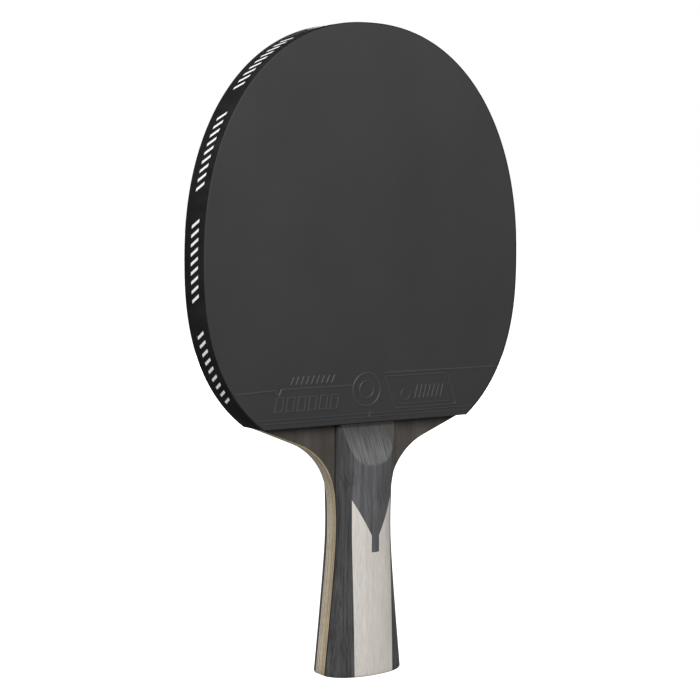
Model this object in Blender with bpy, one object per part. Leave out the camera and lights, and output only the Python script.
"""Table tennis paddle, built the way the real one is glued up.

A five-ply wooden blade runs from the top of the head to the butt of the handle. Each face
of the head carries a sponge and a topsheet, and a tape wraps the head's edge. Each side of
the handle is a scale of four glued pieces: two side strips and, between them, an
arrow-shaped upper inlay that points down into a pale lower inlay.

The paddle stands on its butt. X is its width, Y its thickness with the front face towards
-Y, and Z its length. Outlines are drawn from the rubber's straight lower edge: "height" is
measured up from that edge and "drop" down from it. All lengths are in metres.
"""
import math

import bmesh
import bpy

# Glue lines and seams are drawn as thin open gaps.
GAP = 0.0003

# The head's outer outline: two half superellipses that meet at the widest line.
HEAD_HEIGHT = 0.157
HEAD_HALF_WIDTH = 0.0754
WIDEST_HEIGHT = 0.0647
CROWN_POWER = 2.18
CHIN_POWER = 2.43
CHIN_REACH = 0.0776
CROWN_STEPS = 44
CHIN_STEPS = 12

# The stack, from the middle of the blade outwards.
CORE_THICKNESS = 0.0020
INNER_PLY_THICKNESS = 0.00085
OUTER_PLY_THICKNESS = 0.0006
SPONGE_THICKNESS = 0.0020
TOPSHEET_THICKNESS = 0.00155
TAPE_THICKNESS = 0.0003
TOPSHEET_ROUNDING = 0.0003

# The blade below the rubber: sloping shoulders that round into the grip.
HANDLE_LENGTH = 0.101
SHOULDER_ANGLE = math.radians(22)
SHOULDER_DROP = 0.031
SHOULDER_STEPS = 9
BUTT_ROUNDING = 0.0008
BUTT_ROUNDING_STEPS = 2

# The grip narrows from its neck to a waist and flares to the butt. Each line gives the
# half width, the half thickness and the power of the cross-section's superellipse. The
# section turns from square to round in the stretch of ROUND_REACH that ends at ROUND_DROP.
NECK = (0.0136, 0.0115, 3.1)
WAIST = (0.01275, 0.0124, 2.15)
BUTT = (0.0182, 0.0128, 2.3)
WAIST_DROP = 0.040
WAIST_REACH = 0.0197
ROUND_DROP = 0.027
ROUND_REACH = 0.010
FLARE_SOFTNESS = 0.0137
GRIP_STEPS = 15
NECK_STEPS = 6

# The scales on each side of the blade.
SCALE_STEPS = 28
RAMP_LENGTH = 0.0163
RAMP_TOP_HALF_THICKNESS = 0.0072

# The inlays between the side strips.
INLAY_HALF_WIDTH = 0.00925
ARROW_SHOULDER_DROP = 0.030
ARROW_TIP_DROP = 0.0445
TONGUE_HALF_WIDTH = 0.00175
TONGUE_DROP = 0.0512

# Worked out from the values above.
INNER_PLY_START = CORE_THICKNESS / 2 + GAP
OUTER_PLY_START = INNER_PLY_START + INNER_PLY_THICKNESS + GAP
BLADE_HALF_THICKNESS = OUTER_PLY_START + OUTER_PLY_THICKNESS
SPONGE_START = BLADE_HALF_THICKNESS + GAP
TOPSHEET_START = SPONGE_START + SPONGE_THICKNESS + GAP
HEAD_HALF_THICKNESS = TOPSHEET_START + TOPSHEET_THICKNESS
BLADE_INSET = TAPE_THICKNESS + GAP
SCALE_START = BLADE_HALF_THICKNESS + GAP
CROWN_REACH = HEAD_HEIGHT - WIDEST_HEIGHT
CUTTER_MARGIN = 0.01
SLOPE_STEP = 0.0005
ON_AXIS = 1e-6
SHARP_ANGLE = math.radians(30)

FRONT = -1
REAR = 1
SIDE_NAMES = {FRONT: "front", REAR: "rear"}


def clear_scene():
    """Start from an empty scene."""
    for old in list(bpy.data.objects):
        bpy.data.objects.remove(old, do_unlink=True)


def make_material(name, colour, roughness):
    """A Principled BSDF material with a plain colour; nothing on the paddle is metal."""
    material = bpy.data.materials.new(name)
    material.use_nodes = True
    shader = material.node_tree.nodes["Principled BSDF"]
    shader.inputs["Base Color"].default_value = (*colour, 1.0)
    shader.inputs["Roughness"].default_value = roughness
    shader.inputs["Metallic"].default_value = 0.0
    return material


def arc_through(power, angle):
    """The unit superellipse |x|^p + |y|^p = 1 at an angle of its first quadrant."""
    return math.cos(angle) ** (2 / power), math.sin(angle) ** (2 / power)


def half_head_outline(inset):
    """Right half of the head as (x, height), from the straight edge up to the top."""
    half_width = HEAD_HALF_WIDTH - inset
    chin_reach = CHIN_REACH - inset
    crown_reach = CROWN_REACH - inset
    chin_angle = math.asin((WIDEST_HEIGHT / chin_reach) ** (CHIN_POWER / 2))
    points = []
    for step in range(CHIN_STEPS):
        x, y = arc_through(CHIN_POWER, chin_angle * (1 - step / CHIN_STEPS))
        points.append((half_width * x, WIDEST_HEIGHT - chin_reach * y))
    for step in range(CROWN_STEPS // 2 + 1):
        x, y = arc_through(CROWN_POWER, math.pi * step / CROWN_STEPS)
        points.append((half_width * x, WIDEST_HEIGHT + crown_reach * y))
    points[-1] = (0.0, WIDEST_HEIGHT + crown_reach)
    return points


def mirrored(half):
    """Close a right half, listed upwards, with its mirror image."""
    left = [(-x, height) for x, height in reversed(half) if x > ON_AXIS]
    return half + left


def eased(share):
    """A share held between 0 and 1 that starts and ends gently."""
    share = min(max(share, 0.0), 1.0)
    return share * share * (3 - 2 * share)


def grip_section(drop):
    """Half width, half thickness and power of the grip's cross-section at a drop."""
    neck_share = eased((WAIST_DROP - drop) / WAIST_REACH)
    shares = (neck_share, neck_share, eased((ROUND_DROP - drop) / ROUND_REACH))
    flared = math.hypot(FLARE_SOFTNESS, max(drop - WAIST_DROP, 0.0)) - FLARE_SOFTNESS
    whole_flare = math.hypot(FLARE_SOFTNESS, HANDLE_LENGTH - WAIST_DROP) - FLARE_SOFTNESS
    butt_share = flared / whole_flare
    return tuple(
        waist + (neck - waist) * share + (butt - waist) * butt_share
        for neck, waist, butt, share in zip(NECK, WAIST, BUTT, shares)
    )


def grip_stations():
    """Drop, half width, half thickness and power from the rounded butt up to the shoulders."""
    stations = []
    for step in range(BUTT_ROUNDING_STEPS):
        angle = math.pi / 2 * step / BUTT_ROUNDING_STEPS
        shrink = BUTT_ROUNDING * (1 - math.sin(angle))
        drop = HANDLE_LENGTH - BUTT_ROUNDING * (1 - math.cos(angle))
        half_width, half_thickness, power = grip_section(drop)
        stations.append((drop, half_width - shrink, half_thickness - shrink, power))
    for step in range(GRIP_STEPS + 1):
        share = step / GRIP_STEPS
        drop = (HANDLE_LENGTH - BUTT_ROUNDING) * (1 - share) + SHOULDER_DROP * share
        stations.append((drop, *grip_section(drop)))
    return stations


def shoulder_points(corner_x):
    """The shoulder's arc, which leaves the grip in line with it and ends at the slope."""
    start_x, slope = grip_section(SHOULDER_DROP)[0], math.tan(SHOULDER_ANGLE)
    lean = (grip_section(SHOULDER_DROP - SLOPE_STEP)[0] - start_x) / SLOPE_STEP
    first, last = math.atan(lean), math.pi / 2 - SHOULDER_ANGLE
    rise = math.sin(last) - math.sin(first)
    run = math.cos(first) - math.cos(last)
    radius = (SHOULDER_DROP - slope * (corner_x - start_x)) / (rise - slope * run)
    points = []
    for step in range(1, SHOULDER_STEPS + 1):
        angle = first + (last - first) * step / SHOULDER_STEPS
        x = start_x + radius * (math.cos(first) - math.cos(angle))
        points.append((x, radius * (math.sin(angle) - math.sin(first)) - SHOULDER_DROP))
    return points


def blade_outline():
    """Whole outline of a ply: grip, shoulders and head."""
    head = half_head_outline(BLADE_INSET)
    grip = [(half_width, -drop) for drop, half_width, _, _ in grip_stations()]
    return mirrored(grip + shoulder_points(head[0][0]) + head)


def link_object(name, mesh, material, parent):
    """Put a mesh in the scene as a named object."""
    item = bpy.data.objects.new(name, mesh)
    item.data.materials.append(material)
    item.parent = parent
    bpy.context.scene.collection.objects.link(item)
    return item


def finish_mesh(name, bm):
    """Turn a bmesh into a mesh whose faces point out, smooth where it is round."""
    bmesh.ops.recalc_face_normals(bm, faces=bm.faces)
    mesh = bpy.data.meshes.new(name)
    bm.to_mesh(mesh)
    bm.free()
    mesh.shade_smooth()
    mesh.set_sharp_from_angle(angle=SHARP_ANGLE)
    return mesh


def extruded(name, outline, depth):
    """Extrude an outline drawn as (x, height) along Y by a depth of either sign."""
    bm = bmesh.new()
    corners = [bm.verts.new((x, 0.0, height)) for x, height in outline]
    face = bm.faces.new(corners)
    swept = bmesh.ops.extrude_face_region(bm, geom=[face])
    moved = [item for item in swept["geom"] if isinstance(item, bmesh.types.BMVert)]
    bmesh.ops.translate(bm, vec=(0.0, depth, 0.0), verts=moved)
    return finish_mesh(name, bm)


def make_layer(name, outline, side, start, thickness, material, parent):
    """A flat layer of the stack on one side of the blade."""
    item = link_object(name, extruded(name, outline, side * thickness), material, parent)
    item.location = (0.0, side * start, 0.0)
    return item


def make_blade(materials, parent):
    """The five plies. The core straddles the middle; the others lie on both sides."""
    outline = blade_outline()
    core = link_object(
        "blade_core", extruded("blade_core", outline, CORE_THICKNESS), materials["core"], parent
    )
    core.location = (0.0, -CORE_THICKNESS / 2, 0.0)
    for side, side_name in SIDE_NAMES.items():
        make_layer(
            "blade_inner_ply_" + side_name,
            outline,
            side,
            INNER_PLY_START,
            INNER_PLY_THICKNESS,
            materials["inner_ply"],
            parent,
        )
        make_layer(
            "blade_outer_ply_" + side_name,
            outline,
            side,
            OUTER_PLY_START,
            OUTER_PLY_THICKNESS,
            materials["outer_ply"],
            parent,
        )


def make_rubber(side, materials, parent):
    """A sponge and the topsheet on it."""
    outline = mirrored(half_head_outline(BLADE_INSET))
    side_name = SIDE_NAMES[side]
    make_layer(
        "sponge_" + side_name,
        outline,
        side,
        SPONGE_START,
        SPONGE_THICKNESS,
        materials["sponge"],
        parent,
    )
    topsheet = make_layer(
        "topsheet_" + side_name,
        outline,
        side,
        TOPSHEET_START,
        TOPSHEET_THICKNESS,
        materials["topsheet_" + side_name],
        parent,
    )
    rounding = topsheet.modifiers.new("rounded_rim", "BEVEL")
    rounding.width = TOPSHEET_ROUNDING
    rounding.segments = 1
    rounding.limit_method = "ANGLE"
    rounding.angle_limit = SHARP_ANGLE


def make_edge_tape(material, parent):
    """A C-shaped band round the head, from one lower corner of the rubber to the other."""
    outer = mirrored(half_head_outline(0.0))
    inner = mirrored(half_head_outline(TAPE_THICKNESS))
    bm = bmesh.new()
    outer_row = [bm.verts.new((x, -HEAD_HALF_THICKNESS, height)) for x, height in outer]
    inner_row = [bm.verts.new((x, -HEAD_HALF_THICKNESS, height)) for x, height in inner]
    strip = []
    for index in range(len(outer) - 1):
        quad = (
            outer_row[index],
            outer_row[index + 1],
            inner_row[index + 1],
            inner_row[index],
        )
        strip.append(bm.faces.new(quad))
    swept = bmesh.ops.extrude_face_region(bm, geom=strip)
    moved = [item for item in swept["geom"] if isinstance(item, bmesh.types.BMVert)]
    bmesh.ops.translate(bm, vec=(0.0, 2 * HEAD_HALF_THICKNESS, 0.0), verts=moved)
    link_object("edge_tape", finish_mesh("edge_tape", bm), material, parent)


def scale_section(side, drop, half_width, half_thickness, power):
    """Cross-section of a scale: a flat back on the blade and a rounded outer face.

    The superellipse is widened so that it passes through the blade's own edge.
    """
    back = SCALE_START / half_thickness
    curve_half_width = half_width / (1 - back ** power) ** (1 / power)
    start = math.asin(back ** (power / 2))
    points = []
    for step in range(SCALE_STEPS + 1):
        angle = start + (math.pi - 2 * start) * step / SCALE_STEPS
        across, out = arc_through(power, min(angle, math.pi - angle))
        across = across if angle <= math.pi / 2 else -across
        points.append((curve_half_width * across, side * half_thickness * out, -drop))
    return points


def scale_mesh(name, side):
    """A whole scale, from the butt to the rubber's edge, before the ramp is cut."""
    stations = grip_stations()
    for step in range(1, NECK_STEPS + 1):
        share = step / NECK_STEPS
        drop = SHOULDER_DROP * (1 - share) + GAP * share
        stations.append((drop, *grip_section(drop)))
    bm = bmesh.new()
    rings = []
    for station in stations:
        rings.append([bm.verts.new(point) for point in scale_section(side, *station)])
    for lower, upper in zip(rings, rings[1:]):
        for index in range(len(lower)):
            following = (index + 1) % len(lower)
            quad = (lower[index], lower[following], upper[following], upper[index])
            bm.faces.new(quad)
    bm.faces.new(rings[0])
    bm.faces.new(rings[-1])
    return finish_mesh(name, bm)


def make_cutter(name, outline, parent, along_x=False):
    """A prism that shapes other pieces and is no part of the paddle.

    Its outline is (x, height), swept along Y, or (y, height), swept along X.
    """
    reach = BUTT[0] + CUTTER_MARGIN
    cutter = bpy.data.objects.new(name, extruded(name, outline, 2 * reach))
    cutter.location = (0.0, -reach, 0.0)
    if along_x:
        cutter.rotation_euler = (0.0, 0.0, math.pi / 2)
        cutter.location = (reach, 0.0, 0.0)
    cutter.parent = parent
    cutter.hide_render = True
    cutter.display_type = "WIRE"
    bpy.context.scene.collection.objects.link(cutter)
    return cutter


def ramp_outline(side):
    """What the sanded ramp takes off a scale's top end, as (y, height)."""
    neck_half_thickness = NECK[1]
    rise = neck_half_thickness - RAMP_TOP_HALF_THICKNESS
    beyond = CUTTER_MARGIN * rise / RAMP_LENGTH
    outer = neck_half_thickness + CUTTER_MARGIN
    return [
        (side * (RAMP_TOP_HALF_THICKNESS - beyond), CUTTER_MARGIN),
        (side * (neck_half_thickness + beyond), -RAMP_LENGTH - CUTTER_MARGIN),
        (side * outer, -RAMP_LENGTH - CUTTER_MARGIN),
        (side * outer, CUTTER_MARGIN),
    ]


def strip_outline(hand):
    """A side strip's share of the scale, right (hand 1) or left (hand -1)."""
    inner = hand * (INLAY_HALF_WIDTH + GAP / 2)
    outer = hand * (BUTT[0] + CUTTER_MARGIN)
    low = -HANDLE_LENGTH - CUTTER_MARGIN
    return [(inner, low), (outer, low), (outer, CUTTER_MARGIN), (inner, CUTTER_MARGIN)]


def notch_half(half_width, seam):
    """Right half of the arrow's lower end, moved away from the arrow by a seam."""
    run = INLAY_HALF_WIDTH - TONGUE_HALF_WIDTH
    fall = ARROW_TIP_DROP - ARROW_SHOULDER_DROP
    shift = seam * math.hypot(run, fall) / run
    tongue = TONGUE_HALF_WIDTH + seam

    def slant_drop(x):
        return ARROW_SHOULDER_DROP + shift + (INLAY_HALF_WIDTH - x) * fall / run

    return [
        (half_width, -slant_drop(half_width)),
        (tongue, -slant_drop(tongue)),
        (tongue, -TONGUE_DROP - seam),
    ]


def arrow_outline():
    """The upper inlay: a wide bar, a taper and a narrow tongue."""
    half_width = INLAY_HALF_WIDTH - GAP / 2
    half = list(reversed(notch_half(half_width, 0.0)))
    return mirrored(half + [(half_width, CUTTER_MARGIN)])


def pale_outline():
    """The lower inlay: a wide bar with the arrow's shape cut out of its upper end."""
    half_width = INLAY_HALF_WIDTH - GAP / 2
    low = -HANDLE_LENGTH - CUTTER_MARGIN
    return mirrored([(half_width, low)] + notch_half(half_width, GAP))


def make_scale_piece(name, side, ramp, share, material, parent):
    """The share of a scale that lies inside a cutter, with the ramp sanded off."""
    piece = link_object(name, scale_mesh(name, side), material, parent)
    sanding = piece.modifiers.new("ramp", "BOOLEAN")
    sanding.operation = "DIFFERENCE"
    sanding.solver = "EXACT"
    sanding.object = ramp
    sawing = piece.modifiers.new("share", "BOOLEAN")
    sawing.operation = "INTERSECT"
    sawing.solver = "EXACT"
    sawing.object = share


def make_scales(materials, parent):
    """Both scales, each of two side strips, an arrow inlay and a pale inlay."""
    shares = {
        "left_strip": (make_cutter("cut_left_strip", strip_outline(-1), parent), "strip"),
        "right_strip": (make_cutter("cut_right_strip", strip_outline(1), parent), "strip"),
        "arrow_inlay": (make_cutter("cut_arrow_inlay", arrow_outline(), parent), "arrow"),
        "pale_inlay": (make_cutter("cut_pale_inlay", pale_outline(), parent), "pale"),
    }
    for side, side_name in SIDE_NAMES.items():
        ramp = make_cutter("cut_ramp_" + side_name, ramp_outline(side), parent, along_x=True)
        for piece_name, (share, slot) in shares.items():
            name = "handle_" + piece_name + "_" + side_name
            make_scale_piece(name, side, ramp, share, materials[slot], parent)


def make_materials():
    """One material for each kind of piece."""
    return {
        "core": make_material("core_wood", (0.56, 0.44, 0.29), 0.7),
        "inner_ply": make_material("inner_ply_wood", (0.62, 0.52, 0.38), 0.7),
        "outer_ply": make_material("outer_ply_stained_wood", (0.075, 0.062, 0.053), 0.55),
        "sponge": make_material("sponge_foam", (0.03, 0.03, 0.032), 0.95),
        "topsheet_front": make_material("black_rubber", (0.045, 0.045, 0.046), 0.6),
        "topsheet_rear": make_material("red_rubber", (0.45, 0.02, 0.02), 0.6),
        "tape": make_material("edge_tape_vinyl", (0.012, 0.012, 0.013), 0.45),
        "strip": make_material("dark_strip_wood", (0.055, 0.058, 0.062), 0.55),
        "arrow": make_material("arrow_inlay_wood", (0.075, 0.078, 0.083), 0.55),
        "pale": make_material("pale_inlay_wood", (0.58, 0.54, 0.49), 0.55),
    }


def build():
    """Make the whole paddle under one empty that sits on the rubber's straight edge."""
    clear_scene()
    materials = make_materials()
    paddle = bpy.data.objects.new("paddle", None)
    paddle.location = (0.0, 0.0, HANDLE_LENGTH)
    bpy.context.scene.collection.objects.link(paddle)
    make_blade(materials, paddle)
    for side in (FRONT, REAR):
        make_rubber(side, materials, paddle)
    make_edge_tape(materials["tape"], paddle)
    make_scales(materials, paddle)


build()
